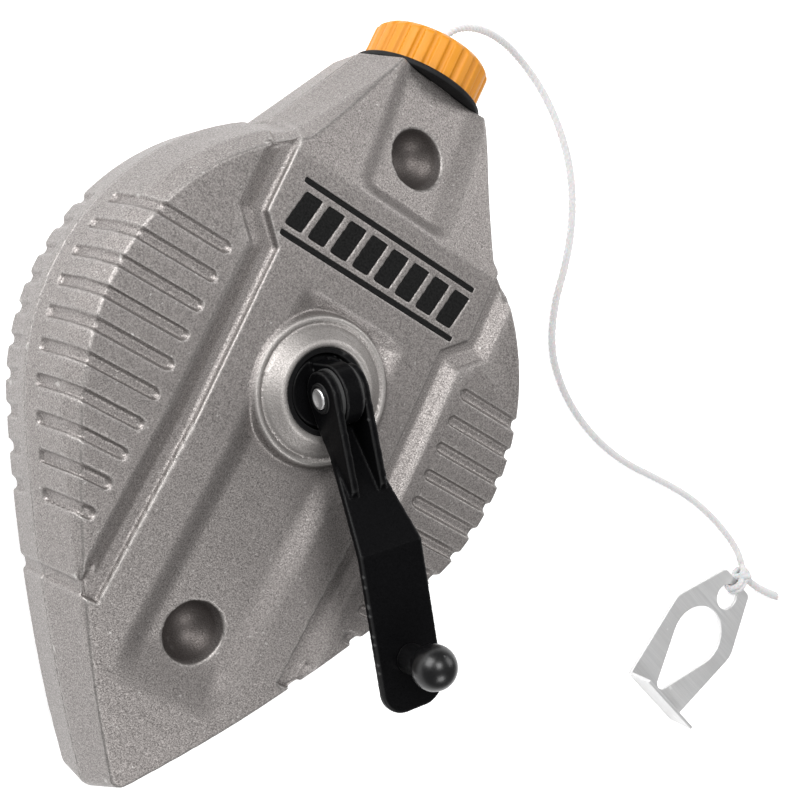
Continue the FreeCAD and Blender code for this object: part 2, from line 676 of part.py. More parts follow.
def tube_path(points):
    """Straight runs joined by tangent arcs as large as the runs allow."""
    edges, at, radii = [], points[0], []
    for before, corner, after in zip(points, points[1:], points[2:]):
        into, out = corner - before, after - corner
        turn = into.getAngle(out)
        trim = 0.45 * min(into.Length, out.Length)
        radii.append(trim / math.tan(turn / 2))
        start = corner - V(into).normalize() * trim
        end = corner + V(out).normalize() * trim
        inward = (V(out).normalize() - V(into).normalize()).normalize()
        depth = radii[-1] * (1 / math.cos(turn / 2) - 1)
        edges.append(Part.makeLine(at, start))
        edges.append(Part.Arc(start, corner + inward * depth, end).toShape())
        at = end
    edges.append(Part.makeLine(at, points[-1]))
    print("line radii:", [round(r, 1) for r in radii], "smallest", round(min(radii), 1))
    return Part.Wire(edges)


def tube(points, radius):
    """A round tube along a route."""
    path = tube_path(points)
    direction = points[1] - points[0]
    ring = Part.Wire([Part.makeCircle(radius, points[0], direction)])
    solid = path.makePipeShell([ring], True, False, 0)
    expected = math.pi * radius ** 2 * path.Length
    print("line length", round(path.Length, 1), "volume ratio", round(solid.Volume / expected, 4))
    return solid


def hook_rim():
    """Distance from the hook's small hole to the middle of the rim that the loop goes round."""
    return (size("hook_hole") + size("hook_hole_at")) / 2


def hook_place(shape):
    """Lays the hook on the ground: its lip end down, its nose resting on the loop of line."""
    thick, end = size("hook_thickness"), size("hook_length") - size("hook_hole_at")
    lift = size("knot_loop") + size("line_radius") - thick / 2
    shape.rotate(V(0, -end, 0), V(1, 0, 0), math.degrees(math.asin(lift / (end + hook_rim()))))
    shape.rotate(V(), UP, HOOK_TURN)
    shape.translate(V(HOOK_AT[0], HOOK_AT[1], 0))
    return shape


def hook():
    """Stainless end hook: tapered nose, small hole, teardrop window and a folded lip."""
    half, nose, fold = size("hook_half"), size("hook_nose_half"), size("hook_fold_half")
    thick, lip, top = size("hook_thickness"), size("hook_lip"), size("hook_hole_at")
    end, shoulder = top - size("hook_length"), top - size("hook_shoulder")
    right = [V(nose, top, 0), V(half, shoulder, 0), V(fold, end, 0)]
    plate = prism(right + [mirrored(p) for p in reversed(right)], V(0, 0, thick))
    for radius, y in ((size("hook_corner"), top), (size("hook_round"), shoulder)):
        corners = [e for e in plate.Edges if all(abs(v.Point.y - y) < 0.01 for v in e.Vertexes)
                   and abs(e.Vertexes[0].Point.z - e.Vertexes[1].Point.z) > thick / 2]
        plate = plate.makeFillet(radius, corners)
    plate = plate.fuse(Part.makeBox(2 * fold, thick, lip, V(-fold, end, 0)))
    wide, narrow = size("window_radius"), size("window_end")
    high, low = top - size("window_wide"), top - size("window_narrow")
    lean = math.asin((wide - narrow) / (high - low))
    flank = [V(wide * math.cos(lean), high - wide * math.sin(lean), 0),
             V(narrow * math.cos(lean), low - narrow * math.sin(lean), 0)]
    sides = flank + [mirrored(flank[1]), mirrored(flank[0])]
    tools = [Part.makeCylinder(wide, thick, V(0, high, 0), UP),
             Part.makeCylinder(narrow, thick, V(0, low, 0), UP),
             prism(sides, V(0, 0, thick)), Part.makeCylinder(size("hook_hole"), thick, V(), UP)]
    return hook_place(plate.cut(tools).removeSplitter())


def line_knot():
    """The loop round the rim of the hook's small hole, the knot on it and the short free tail."""
    loop, radius, knot = size("knot_loop"), size("line_radius"), size("knot_radius")
    middle = V(0, hook_rim(), loop + radius)
    ring = Part.makeTorus(loop, radius, middle, V(1, 0, 0))
    start = middle + V(0, loop + 0.6 * knot, 0)
    ball = Part.makeSphere(knot, start)
    reach = V(size("tail_length"), size("tail_length") / 3, radius + 0.1 - start.z)
    tail = Part.makeCylinder(radius, reach.Length, start, reach)
    shape = ring.fuse([ball, tail])
    shape.rotate(V(), UP, HOOK_TURN)
    shape.translate(V(HOOK_AT[0], HOOK_AT[1], 0))
    return shape


def hidden_line():
    """The straight stretch of line between the winding and the felt wiper."""
    radius, seam = size("winding_radius") + size("line_radius") + size("line_gap"), size("seam_height")
    end = V(0, size("felt_start"), seam)
    angle = math.acos(radius / end.y)
    start = V(radius * math.sin(angle), radius * math.cos(angle), seam)
    return Part.makeCylinder(size("line_radius"), (end - start).Length, start, end - start)


# ---------------------------------------------------------------- the assembly

def make_case():
    solid_feature("front_shell", front_shell())
    solid_feature("back_shell", back_shell())
    solid_feature("case_screws", case_screws())
    solid_feature("badge_inlay", Part.makeCompound(badge_shapes()))
    solid_feature("neck_gasket", gasket())
    inner, flange = "Sheet.bushing_inner", "Sheet.bushing_flange"
    seat = "(Sheet.case_height - Sheet.wall)"
    low = seat + " - Sheet.bushing_flange_height"
    keep(turned("hub_bushing", [
        (inner, low), (flange, low), (flange, seat), ("Sheet.hub_hole", seat),
        ("Sheet.hub_hole", "Sheet.bushing_top"), (inner, "Sheet.bushing_top")]), "hub_bushing")


def make_spool():
    bore = "Sheet.shaft_radius + Sheet.running_gap"
    base, top = "Sheet.spool_base", "Sheet.spool_top"
    low = base + " + Sheet.flange_height"
    high = top + " - Sheet.flange_height"
    rim, core, wound = "Sheet.flange_radius", "Sheet.core_radius", "Sheet.winding_radius"
    keep(turned("spool", [(bore, base), (rim, base), (rim, low), (core, low), (core, high),
                          (rim, high), (rim, top), (bore, top)]), "spool")
    keep(turned("wound_line", [(core, low), (wound, low), (wound, high), (core, high)]), "wound_line")
    shaft, start, end = "Sheet.shaft_radius", "Sheet.shaft_base", "Sheet.shaft_top"
    keep(turned("spool_shaft", [("0", start), (shaft + " - 0.4", start), (shaft, start + " + 0.4"),
                                (shaft, end + " - 0.6"), (shaft + " - 0.6", end), ("0", end)]),
         "spool_shaft")
    seat = "Sheet.spool_seat"
    lid = seat + " + Sheet.washer_height"
    keep(turned("spool_washer", [(bore, seat), ("Sheet.spool_seat_radius", seat),
                                 ("Sheet.spool_seat_radius", lid), (bore, lid)]), "spool_washer")


def make_gears():
    solid_feature("ring_gear", ring_gear())
    solid_feature("ring_screws", ring_screws())
    bore = size("shaft_radius") + size("running_gap")
    solid_feature("sun_gear", pinion(int(size("sun_teeth")), size("spool_top"), size("gear_top"), bore))
    for number, place in enumerate(planet_places(), start=1):
        solid_feature(f"planet_gear_{number}", planet_gear(place))
    solid_feature("planet_pins", planet_pins())
    height = "Sheet.carrier_top - Sheet.carrier_base"
    plate = cylinder("carrier_disc", "Sheet.carrier_radius", height, z="Sheet.carrier_base")
    holes = [cylinder("carrier_bore", "Sheet.spigot_radius", height, z="Sheet.carrier_base")]
    orbit = "(Sheet.sun_teeth + Sheet.planet_teeth) * Sheet.gear_module / 2"
    for k in range(int(size("planet_count"))):
        angle = f"((Sheet.crank_azimuth + {k} * 360 / Sheet.planet_count) * 1deg)"
        holes.append(cylinder(f"carrier_hole_{k}", "Sheet.planet_pin", height,
                              x=f"{orbit} * cos{angle}", y=f"{orbit} * sin{angle}",
                              z="Sheet.carrier_base"))
    keep(cut("carrier", plate, *holes), "carrier")


def make_crank():
    solid_feature("crank_hub", crank_hub())
    solid_feature("crank_arm", crank_arm())
    solid_feature("pivot_rivet", pivot_rivet())
    solid_feature("friction_washers", friction_washers())
    x = "Sheet.crank_radius * cos(Sheet.crank_azimuth * 1deg)"
    y = "Sheet.crank_radius * sin(Sheet.crank_azimuth * 1deg)"
    base = "Sheet.plate_top + Sheet.knob_gap"
    ball = doc.addObject("Part::Sphere", "knob_ball")
    bind(ball, Radius="Sheet.knob_ball", Placement__Base__x=x, Placement__Base__y=y,
         Placement__Base__z="Sheet.plate_top + Sheet.knob_centre")
    neck = cylinder("knob_neck", "Sheet.knob_collar", "Sheet.knob_centre - Sheet.knob_gap", x, y, base)
    bore = cylinder("knob_bore", "Sheet.stud_radius + Sheet.running_gap",
                    "Sheet.stud_depth + Sheet.running_gap", x, y, base)
    keep(cut("knob", fuse("knob_solid", ball, neck), bore), "knob")
    under = "Sheet.plate_top - Sheet.sheet"
    shank = cylinder("stud_shank", "Sheet.stud_radius", "Sheet.stud_depth + Sheet.sheet", x, y, under)
    head = cylinder("stud_head", "Sheet.stud_head", "Sheet.stud_head_height", x, y,
                    under + " - Sheet.stud_head_height")
    keep(fuse("knob_stud", shank, head), "knob_stud")


def make_cap():
    """The ribbed screw cap with its hollow spigot, drawn along Z and laid along +Y."""
    base, top, bevel = "Sheet.cap_base", "Sheet.cap_top", "Sheet.cap_chamfer"
    rim, end, floor = "Sheet.cap_radius", "Sheet.cap_spigot_end", "Sheet.cap_floor"
    thread, bore, hole = "Sheet.spigot_thread", "Sheet.spigot_bore", "Sheet.line_hole"
    body = turned("outlet_cap", [
        (bore, end), (thread, end), (thread, base), (rim, base), (rim, f"{top} - {bevel}"),
        (f"{rim} - {bevel}", top), (hole, top), (hole, floor), (bore, floor)])
    sketch = body.newObject("Sketcher::SketchObject", "cap_groove_sketch")
    sketch.AttachmentSupport = [([f for f in body.Origin.OriginFeatures if f.Role == "XY_Plane"][0], "")]
    sketch.MapMode = "FlatFace"
    sketch.addGeometry(Part.Circle(V(15, 0, 0), UP, 1), False)
    sketch.addConstraint(Sketcher.Constraint("PointOnObject", 0, 3, -1))
    sketch.addConstraint(Sketcher.Constraint("DistanceX", -1, 1, 0, 3, 15))
    sketch.setExpression("Constraints[1]", f"{rim} + Sheet.rib_half - Sheet.rib_depth")
    sketch.addConstraint(Sketcher.Constraint("Radius", 0, 1))
    sketch.setExpression("Constraints[2]", "Sheet.rib_half")
    before = body.Shape.Volume
    groove = body.newObject("PartDesign::Pocket", "cap_groove")
    groove.Profile = sketch
    groove.Type = "ThroughAll"
    groove.Reversed = True
    pattern = body.newObject("PartDesign::PolarPattern", "cap_grooves")
    pattern.Originals = [groove]
    pattern.Axis = (sketch, ["N_Axis"])
    pattern.Angle = 360
    bind(pattern, Occurrences="Sheet.cap_ribs")
    body.Tip = pattern
    doc.recompute()
    assert body.Shape.Volume < before, "the cap's grooves cut nothing"
    keep(along_y(body, "Sheet.seam_height"), "outlet_cap")
    felt = cylinder("felt_plug", "Sheet.spigot_bore - Sheet.felt_gap", "Sheet.felt_end - Sheet.felt_start",
                    y="Sheet.felt_start", z="Sheet.seam_height", along_y=True)
    slot = cylinder("felt_hole", "Sheet.line_hole", "Sheet.felt_end - Sheet.felt_start",
                    y="Sheet.felt_start", z="Sheet.seam_height", along_y=True)
    keep(cut("felt_wiper", felt, slot), "felt_wiper")


def make_line():
    route = [V(*point) for point in LINE_ROUTE]
    solid_feature("line", tube(route, size("line_radius")))
    solid_feature("line_knot", line_knot())
    solid_feature("hook", hook())
    solid_feature("hidden_line", hidden_line())


def check(document, pieces):
    """Every object is in a good state, and every sub-part is a valid solid."""
    for obj in document.Objects:
        faults = [word for word in ("Invalid", "Error") if word in obj.State]
        assert not faults, f"{obj.Label}: {faults}"
    for piece in pieces:
        shape = piece.Shape
        assert not shape.isNull() and shape.isValid() and shape.Solids, piece.Label
        print(f"{piece.Label:18s} solids {len(shape.Solids)} volume {shape.Volume:10.1f}")


make_case()
make_spool()
make_gears()
make_crank()
make_cap()
make_line()
doc.recompute()
check(doc, parts)
os.makedirs("parts", exist_ok=True)
for piece in parts:
    piece.Shape.exportStep(f"parts/{piece.Label}.step")
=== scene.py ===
import math
import random

import bmesh
import bpy
import numpy as np
from mathutils import Matrix, Vector


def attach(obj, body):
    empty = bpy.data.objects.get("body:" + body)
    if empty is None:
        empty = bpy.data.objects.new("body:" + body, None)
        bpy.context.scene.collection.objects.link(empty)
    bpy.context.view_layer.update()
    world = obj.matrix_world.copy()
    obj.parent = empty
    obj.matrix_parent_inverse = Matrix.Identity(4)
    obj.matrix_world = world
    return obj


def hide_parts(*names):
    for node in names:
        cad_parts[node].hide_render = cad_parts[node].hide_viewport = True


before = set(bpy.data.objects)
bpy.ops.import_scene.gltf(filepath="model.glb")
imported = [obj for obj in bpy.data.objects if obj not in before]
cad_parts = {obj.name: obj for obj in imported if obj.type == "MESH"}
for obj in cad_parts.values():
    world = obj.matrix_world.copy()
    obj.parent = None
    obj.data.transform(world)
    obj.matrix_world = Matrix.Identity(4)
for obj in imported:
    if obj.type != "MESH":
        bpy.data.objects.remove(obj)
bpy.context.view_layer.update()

# Lengths below are millimetres, and MM turns them into the frame's metres.
MM = 0.001

# Points that the drawn line follows, from the cap's hole to the knot.
LINE_ROUTE = (
    (0.0, 91.0, 21.0), (0.8, 96.0, 20.7), (3.9, 100.8, 19.3), (9.5, 105.2, 16.2),
    (17.3, 109.3, 11.4), (25.8, 112.4, 6.0), (34.8, 113.6, 1.7), (43.6, 111.6, 1.05),
    (53.5, 106.7, 1.05), (63.5, 98.8, 1.05), (71.0, 88.3, 1.05), (76.0, 75.5, 1.05),
    (78.3, 61.5, 1.05), (84.0, 49.5, 1.05), (95.0, 41.0, 1.05), (108.5, 36.0, 1.05),
    (123.0, 34.2, 1.05), (138.0, 35.6, 1.05), (152.0, 36.2, 1.05), (164.5, 34.6, 1.05),
    (174.5, 31.6, 1.3), (180.0, 28.3, 2.3), (182.2, 24.4, 3.5),
)
# Over the lobes of the twist.
LINE_DIAMETER = 2.1

# Where the case's faces lie.
CASE_TOP = 42.0
SLOPES = ((44.5, 79.5, 7.0), (-20.0, -99.5, 8.0))
BOSS_RADIUS = 17.5
DIMPLE_RADIUS = 7.25
DIMPLE_DISTANCE = 60.0

# The crank's pivot, and half the width over the ears of the arm.
CRANK_AZIMUTH = -50.5
PIVOT_HEIGHT = 50.0
PIVOT_RADIUS = 2.0
RIVET_HEAD = 2.35
COLLAR_RADIUS = 3.5
EARS_REACH = 4.6

# The end hook's own axes: the small hole is the origin, and the lip is down the -Y side.
HOOK_AT = (179.5, 15.4)
HOOK_TURN = -15.5
# From the small hole's middle to the middle of the rim that the loops go round.
HOOK_RIM = 4.85

# The knot: its loops, its wraps and its loose end with single fibres, in the hook's own axes.
LOOP_RADIUS = 2.6
LOOP_SPREAD = 0.72
KNOT_HEIGHT = 3.6
KNOT_PLY = 0.92
KNOT_LAY = 3.6
WRAP_RADIUS = 1.9
WRAP_STEPS = 33
WRAP_STEPS_IN_TURN = 11
TAIL_RADIUS = 1.3
TAIL_HEIGHT = 1.7
FRAY_AT = 17.2
FIBRES = 13
FIBRE_RADIUS = 0.30


# ---------------------------------------------------------------- materials

class Paint:
    """A Principled material with short calls for the nodes that drive it."""

    def __init__(self, name, **constants):
        self.material = bpy.data.materials.new(name)
        self.material.use_nodes = True
        self.tree = self.material.node_tree
        self.shader = self.tree.nodes["Principled BSDF"]
        self.coords = self.tree.nodes.new("ShaderNodeTexCoord").outputs["Object"]
        for socket, value in constants.items():
            self.shader.inputs[socket.replace("_", " ")].default_value = value

    def node(self, kind, **inputs):
        made = self.tree.nodes.new(kind)
        for socket, value in inputs.items():
            self.put(made.inputs[socket.replace("_", " ")], value)
        return made

    def put(self, socket, value):
        if isinstance(value, bpy.types.NodeSocket):
            self.tree.links.new(value, socket)
        else:
            socket.default_value = value

    def stretched(self, scale, turn=0.0):
        """Coordinates scaled unevenly, after a turn about Z in degrees."""
        spun = self.node("ShaderNodeVectorRotate", Vector=self.coords, Angle=math.radians(-turn))
        made = self.node("ShaderNodeMapping", Vector=spun.outputs["Vector"], Scale=scale)
        return made.outputs["Vector"]

    def noise(self, size, detail=2.0, roughness=0.5, coords=None):
        """Noise whose features are about this many millimetres across."""
        made = self.node("ShaderNodeTexNoise", Vector=coords or self.coords,
                         Scale=1.0 / (size * MM), Detail=detail, Roughness=roughness)
        return made.outputs["Fac"]

    def cells(self, size):
        """A random colour for each cell, with cells about this many millimetres across."""
        made = self.node("ShaderNodeTexVoronoi", Vector=self.coords, Scale=1.0 / (size * MM))
        return made.outputs["Color"]

    def within(self, y, radius, soft, most):
        """Rises to this much inside a circle, seen from above, on the case's middle line."""
        moved = self.node("ShaderNodeVectorMath", Vector=self.coords)
        moved.operation = "SUBTRACT"
        moved.inputs[1].default_value = (0.0, y * MM, 0.0)
        flat = self.node("ShaderNodeVectorMath", Vector=moved.outputs["Vector"])
        flat.operation = "MULTIPLY"
        flat.inputs[1].default_value = (1.0, 1.0, 0.0)
        made = self.node("ShaderNodeVectorMath", Vector=flat.outputs["Vector"])
        made.operation = "LENGTH"
        return self.spread(made.outputs["Value"], radius * MM, (radius - soft) * MM, 0.0, most)

    def spread(self, value, low, high, to_low=0.0, to_high=1.0):
        """A value moved in a straight line from one range to another, and held at its ends."""
        made = self.node("ShaderNodeMapRange", Value=value, To_Min=to_low, To_Max=to_high)
        made.inputs["From Min"].default_value = low
        made.inputs["From Max"].default_value = high
        return made.outputs["Result"]

    def ramp(self, value, *stops):
        """A colour for a value, by (position, colour) stops."""
        made = self.node("ShaderNodeValToRGB", Fac=value)
        band = made.color_ramp
        while len(band.elements) < len(stops):
            band.elements.new(0.5)
        for element, (position, colour) in zip(band.elements, stops):
            element.position = position
            element.color = (*colour, 1.0)
        return made.outputs["Color"]

    def mix(self, factor, one, two):
        made = self.tree.nodes.new("ShaderNodeMix")
        made.data_type = "RGBA"
        for index, value in ((0, factor), (6, one), (7, two)):
            self.put(made.inputs[index], (*value, 1.0) if isinstance(value, tuple) else value)
        return made.outputs[2]

    def bump(self, *layers):
        """Layers of (height, depth in millimetres, strength), each on the one before."""
        normal = None
        for height, depth, strength in layers:
            made = self.node("ShaderNodeBump", Height=height, Distance=depth * MM, Strength=strength)
            if normal:
                self.put(made.inputs["Normal"], normal)
            normal = made.outputs["Normal"]
        self.put(self.shader.inputs["Normal"], normal)

    def edges(self, low=0.5, high=0.56):
        """One on convex edges and nothing elsewhere."""
        made = self.tree.nodes.new("ShaderNodeNewGeometry")
        return self.spread(made.outputs["Pointiness"], low, high)

    def colour(self, value):
        self.put(self.shader.inputs["Base Color"], value)

    def roughness(self, value):
        self.put(self.shader.inputs["Roughness"], value)


def cast_metal():
    """Sandblasted die casting in warm grey, with a lighter boss that is partly turned metal and partly
    painted highlight, and painted shade darkening the dimples.
    """
    paint = Paint("cast_shell", Metallic=0.80)
    grain = paint.noise(0.34, 2.0, 0.6)
    mottle = paint.noise(1.6, 3.0, 0.6)
    broad = paint.noise(38.0, 2.0)
    dull = paint.ramp(grain, (0.32, (0.080, 0.073, 0.070)), (0.68, (0.33, 0.306, 0.295)))
    clouded = paint.mix(paint.spread(mottle, 0.35, 0.65, 0.0, 0.30), dull, (0.23, 0.212, 0.204))
    toned = paint.mix(paint.spread(broad, 0.3, 0.7, 0.0, 0.25), clouded, (0.16, 0.147, 0.141))
    spark = paint.spread(paint.cells(0.4), 0.90, 1.0, 0.0, 0.5)
    lit = paint.mix(spark, toned, (0.60, 0.59, 0.57))
    # Lighter on convex edges.
    edge_lightening = paint.spread(paint.edges(0.50, 0.60), 0.0, 1.0, 0.0, 0.42)
    lightened_edges = paint.mix(edge_lightening, lit, (0.56, 0.55, 0.53))
    # Painted highlight, partly turned metal: the whole boss is mixed lighter.
    turned = paint.within(0.0, BOSS_RADIUS - 0.2, 0.7, 0.25)
    shown = paint.mix(turned, lightened_edges, (0.50, 0.48, 0.46))
    # Painted shade: each dimple's hollow is darkened as if shaded.
    for y in (-DIMPLE_DISTANCE, DIMPLE_DISTANCE):
        dimple_painted_shade = paint.within(y, DIMPLE_RADIUS + 0.1, 0.8, 0.72)
        shown = paint.mix(dimple_painted_shade, shown, (0.055, 0.046, 0.043))
    paint.colour(shown)
    paint.roughness(paint.spread(grain, 0.3, 0.7, 0.54, 0.40))
    paint.bump((grain, 0.12, 0.55), (mottle, 0.18, 0.25))
    return paint.material


def steel():
    """Bright plated steel with fine turning marks."""
    paint = Paint("steel", Metallic=1.0)
    fine = paint.noise(0.25, 3.0)
    broad = paint.noise(4.0, 3.0)
    paint.colour(paint.ramp(broad, (0.3, (0.82, 0.82, 0.825)), (0.7, (0.92, 0.92, 0.92))))
    paint.roughness(paint.spread(fine, 0.3, 0.7, 0.34, 0.50))
    paint.bump((fine, 0.02, 0.3))
    return paint.material


def stainless():
    """Brushed sheet, with the grain along the hook."""
    paint = Paint("stainless", Metallic=0.7, Anisotropic=0.4)
    streaks = paint.noise(1.0, 4.0, 0.7, paint.stretched((0.05, 4.0, 4.0), HOOK_TURN))
    broad = paint.noise(9.0, 2.0)
    brushed = paint.ramp(streaks, (0.30, (0.56, 0.56, 0.565)), (0.70, (0.72, 0.72, 0.72)))
    toned = paint.mix(paint.spread(broad, 0.3, 0.7, 0.0, 0.3), brushed, (0.60, 0.59, 0.58))
    lightened_edges = paint.mix(paint.edges(0.52, 0.60), toned, (0.80, 0.80, 0.80))
    paint.colour(lightened_edges)
    paint.roughness(paint.spread(streaks, 0.3, 0.7, 0.38, 0.52))
    paint.bump((streaks, 0.03, 0.35))
    return paint.material


def black_paint(name, gloss, depth, shine):
    """Black coating with orange peel, a little lighter on its edges, which is wear and painted edge
    highlight.
    """
    paint = Paint(name, Specular_IOR_Level=shine)
    peel = paint.noise(0.9, 2.0)
    dust = paint.noise(0.3, 4.0, 0.7)
    # Lighter edges: wear and painted edge highlight.
    lightened_edges = paint.spread(paint.edges(0.51, 0.62), 0.0, 1.0, 0.0, 0.35)
    base = paint.ramp(dust, (0.4, (0.0016, 0.0016, 0.0018)), (0.75, (0.0045, 0.0045, 0.005)))
    paint.colour(paint.mix(lightened_edges, base, (0.12, 0.12, 0.12)))
    paint.roughness(paint.spread(dust, 0.3, 0.7, gloss, gloss + 0.08))
    paint.bump((peel, depth, 0.3))
    return paint.material


def badge_enamel():
    """Black enamel that has taken some of the casting's grain."""
    paint = Paint("badge_black", Specular_IOR_Level=0.06)
    grain = paint.noise(0.5, 3.0, 0.6)
    paint.colour(paint.ramp(grain, (0.35, (0.004, 0.004, 0.004)), (0.8, (0.014, 0.014, 0.014))))
    paint.roughness(paint.spread(grain, 0.3, 0.7, 0.30, 0.50))
    paint.bump((grain, 0.08, 0.4))
    return paint.material


def rubber():
    """Matt black rubber with a faint bloom."""
    paint = Paint("gasket_rubber", Specular_IOR_Level=0.15)
    grain = paint.noise(0.35, 3.0)
    bloom = paint.noise(3.0, 2.0)
    paint.colour(paint.ramp(bloom, (0.3, (0.004, 0.004, 0.004)), (0.8, (0.010, 0.010, 0.011))))
    paint.roughness(paint.spread(grain, 0.3, 0.7, 0.48, 0.66))
    paint.bump((grain, 0.05, 0.4))
    return paint.material


def moulded(name, dark, light, gloss):
    """Moulded plastic with faint flow marks and a fine eroded grain."""
    paint = Paint(name, Specular_IOR_Level=0.35)
    grain = paint.noise(0.35, 2.0)
    flow = paint.noise(7.0, 3.0)
    base = paint.ramp(flow, (0.3, dark), (0.7, light))
    paint.colour(base)
    paint.roughness(paint.spread(grain, 0.3, 0.7, gloss, gloss + 0.12))
    paint.bump((grain, 0.03, 0.35), (flow, 0.05, 0.2))
    return paint.material


def cotton():
    """White spun fibres."""
    paint = Paint("line_cotton", Sheen_Weight=0.4, Sheen_Roughness=0.6,
                  Subsurface_Weight=0.25, Subsurface_Scale=0.0015)
    fibre = paint.noise(0.22, 4.0, 0.7)
    soil = paint.noise(5.0, 2.0)
    base = paint.ramp(fibre, (0.30, (0.34, 0.34, 0.35)), (0.65, (0.60, 0.60, 0.60)))
    paint.colour(paint.mix(paint.spread(soil, 0.4, 0.7, 0.0, 0.15), base, (0.60, 0.61, 0.64)))
    paint.roughness(paint.spread(fibre, 0.3, 0.7, 0.95, 0.80))
    paint.bump((fibre, 0.12, 0.6))
    return paint.material


def felt():
    """Pressed wool."""
    paint = Paint("felt", Sheen_Weight=0.5, Sheen_Roughness=0.7)
    fibre = paint.noise(0.4, 5.0, 0.8)
    paint.colour(paint.ramp(fibre, (0.3, (0.36, 0.35, 0.33)), (0.7, (0.62, 0.60, 0.57))))
    paint.roughness(paint.spread(fibre, 0.3, 0.7, 1.0, 0.9))
    paint.bump((fibre, 0.3, 0.8))
    return paint.material


def floor_paper():
    """Matt white studio paper with a trace of tooth."""
    paint = Paint("studio_paper", Specular_IOR_Level=0.1, Emission_Strength=0.40,
                  Emission_Color=(1.0, 1.0, 1.0, 1.0))
    tooth = paint.noise(0.8, 3.0)
    paint.colour(paint.ramp(tooth, (0.3, (0.86, 0.86, 0.86)), (0.7, (0.90, 0.90, 0.90))))
    paint.roughness(paint.spread(tooth, 0.3, 0.7, 0.9, 1.0))
    paint.bump((tooth, 0.02, 0.2))
    return paint.material


FINISH = {
    "cast_shell": cast_metal(),
    "steel": steel(),
    "stainless": stainless(),
    "black_metal": black_paint("black_metal", 0.26, 0.05, 0.045),
    "knob_black": black_paint("knob_black", 0.27, 0.015, 0.4),
    "badge_black": badge_enamel(),
    "gasket_rubber": rubber(),
    "cap_yellow": moulded("cap_yellow", (0.455, 0.172, 0.003), (0.49, 0.188, 0.005), 0.38),
    "spool_plastic": moulded("spool_plastic", (0.045, 0.045, 0.05), (0.07, 0.07, 0.075), 0.40),
    "line_cotton": cotton(),
    "felt": felt(),
}


def finish(obj, slot):
    """Gives a piece the finish of one of the record's material slots."""
    if obj.data.materials:
        for place in obj.material_slots:
            place.material = FINISH[slot]
    else:
        obj.data.materials.append(FINISH[slot])


# ---------------------------------------------------------------- pieces

def add_piece(name, mesh, slot, body, *nodes):
    """Shows a mesh as a piece that rides on a body and stands for these CAD nodes."""
    obj = bpy.data.objects.new(name, mesh)
    bpy.context.collection.objects.link(obj)
    mesh.materials.clear()
    finish(obj, slot)
    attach(obj, body)
    if nodes:
        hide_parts(*nodes)
    return obj


def smooth_shading(mesh):
    mesh.polygons.foreach_set("use_smooth", [True] * len(mesh.polygons))


def evaluated(obj):
    """A plain mesh of an object with its modifiers applied."""
    graph = bpy.context.evaluated_depsgraph_get()
    return bpy.data.meshes.new_from_object(obj.evaluated_get(graph))


def reworked(mesh, *modifiers):
    """A mesh after these modifiers, each given as (type, settings)."""
    obj = bpy.data.objects.new("bench", mesh)
    bpy.context.collection.objects.link(obj)
    for kind, settings in modifiers:
        made = obj.modifiers.new(kind.lower(), kind)
        for key, value in settings.items():
            setattr(made, key, value)
    result = evaluated(obj)
    bpy.data.objects.remove(obj)
    return result


def softened(node, voxel, rounds, relief=None, most_faces=None):
    """A CAD node's mesh rebuilt evenly, with its edges rounded as casting or moulding rounds them."""
    mesh = reworked(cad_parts[node].data.copy(),
                    ("REMESH", {"mode": "VOXEL", "voxel_size": voxel * MM, "adaptivity": 0.0}),
                    ("SMOOTH", {"factor": 0.5, "iterations": rounds}))
    if relief:
        points = np.empty(len(mesh.vertices) * 3)
        mesh.vertices.foreach_get("co", points)
        points = relief(points.reshape(-1, 3) / MM) * MM
        mesh.vertices.foreach_set("co", points.ravel())
        mesh.update()
    if most_faces and 2 * len(mesh.polygons) > most_faces:
        mesh = reworked(mesh, ("DECIMATE", {"ratio": most_faces / (2 * len(mesh.polygons))}))
    mesh.name = node + "_softened"
    smooth_shading(mesh)
    return mesh


def step(value, low, high):
    """A smooth rise from nought at low to one at high."""
    share = np.clip((value - low) / (high - low), 0.0, 1.0)
    return share * share * (3.0 - 2.0 * share)


# The two sunk panels down the middle of the face, which part at the badge.
PANEL_DEPTH = 1.9
PANEL_HALF = 12.5
NECK_PANEL_HALF = 11.5
PANEL_FLANK = 3.6
BADGE_BAND = (18.5, 46.0)
PANEL_END = (-1.5, 2.5)
TAIL_FADE = (-77.0, -64.0)
# How far below the face the relief ends and where it is whole, so that the inside stays put.
SKIN = (1.9, 1.0)

# The grips' edge as (y, x) corners, and the channel beside it as the CAD has it.
GRIP_EDGE = ((-60.0, 30.0), (20.6, 30.0), (26.5, 36.2), (80.0, 36.2))
CHANNEL_WIDTH = 5.4
CHANNEL_END = 2.6
CHANNEL_SLANT = 0.4
CAD_CHANNEL_DEPTH = 0.8
CAD_SLOPE_WIDTH = 2.6
# The channel as it is shown.
CHANNEL_DEPTH = 1.9
SLOPE_WIDTH = 4.4


def surface_height(y):
    """Height of the front face, which falls away towards the neck and the tail."""
    height = np.full_like(y, CASE_TOP)
    for start, end, drop in SLOPES:
        height -= drop * np.clip((y - start) / (end - start), 0.0, None)
    return height


def deeper_channel(x, y):
    """How far the channels lie below the CAD's, with a wider slope up to the grip."""
    along, edge = zip(*GRIP_EDGE)
    across = np.interp(y, along, edge) - np.abs(x)
    leaning = y - CHANNEL_SLANT * np.clip(across, 0.0, CHANNEL_WIDTH)
    across = np.interp(leaning, along, edge) - np.abs(x)
    across = np.maximum(across, (along[0] - y) * CHANNEL_WIDTH / CHANNEL_END)
    cut = CAD_CHANNEL_DEPTH * np.clip(across / CAD_SLOPE_WIDTH, 0.0, 1.0)
    wanted = CHANNEL_DEPTH * np.clip((across - CAD_SLOPE_WIDTH) / SLOPE_WIDTH + 1.0, 0.0, 1.0)
    return (wanted - cut) * step(CHANNEL_WIDTH - across, -0.2, 0.2)


